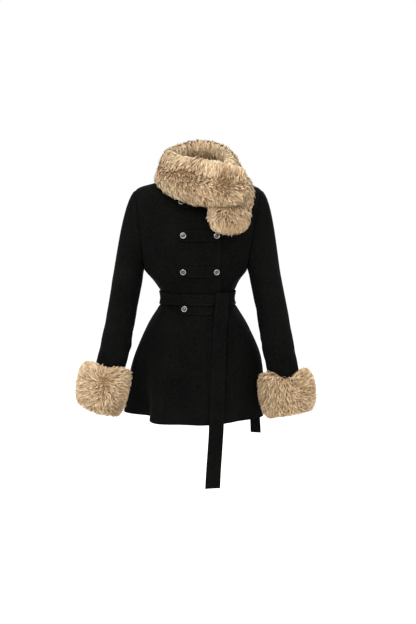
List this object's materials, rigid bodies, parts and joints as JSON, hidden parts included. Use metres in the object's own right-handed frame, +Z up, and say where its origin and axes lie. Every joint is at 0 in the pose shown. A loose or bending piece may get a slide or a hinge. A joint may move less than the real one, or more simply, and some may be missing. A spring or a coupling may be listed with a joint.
{
  "type": "fur-trimmed belted coat",
  "caption": "Short flared double-breasted wool coat with set-in sleeves, wrapped fur collar, fur cuffs and tie belt, in its worn hollow form.",
  "frame": {"origin": "between the shoulders, at the height where the side of the neck meets them", "axes": "+Z up, -Y towards the front, +X towards the wearer's left"},
  "size_m": [0.6659, 0.3938, 0.9697],
  "materials": {
    "wool_cloth": "near-black felted wool with a short nap",
    "tan_fur": "long dense faux fur in tan with lighter tips and brown roots",
    "gunmetal": "polished gunmetal plate"
  },
  "bodies": {
    "root": {"front_right": "wool_cloth", "front_left": "wool_cloth", "side_front_right": "wool_cloth", "side_front_left": "wool_cloth", "back_centre": "wool_cloth", "side_back_right": "wool_cloth", "side_back_left": "wool_cloth", "sleeve_right": "wool_cloth", "sleeve_left": "wool_cloth", "belt": "wool_cloth", "belt_tail_long": "wool_cloth", "belt_tail_short": "wool_cloth", "collar_fur_right": "tan_fur", "collar_fur_left": "tan_fur", "cuff_fur_right": "tan_fur", "cuff_fur_left": "tan_fur", "tab_row_1": "wool_cloth", "button_row_1_right": "gunmetal", "button_row_1_left": "gunmetal", "tab_row_2": "wool_cloth", "button_row_2_right": "gunmetal", "button_row_2_left": "gunmetal", "tab_row_3": "wool_cloth", "button_row_3_right": "gunmetal", "button_row_3_left": "gunmetal", "tab_row_4": "wool_cloth", "button_row_4_right": "gunmetal", "button_row_4_left": "gunmetal"}
  },
  "joints": []
}
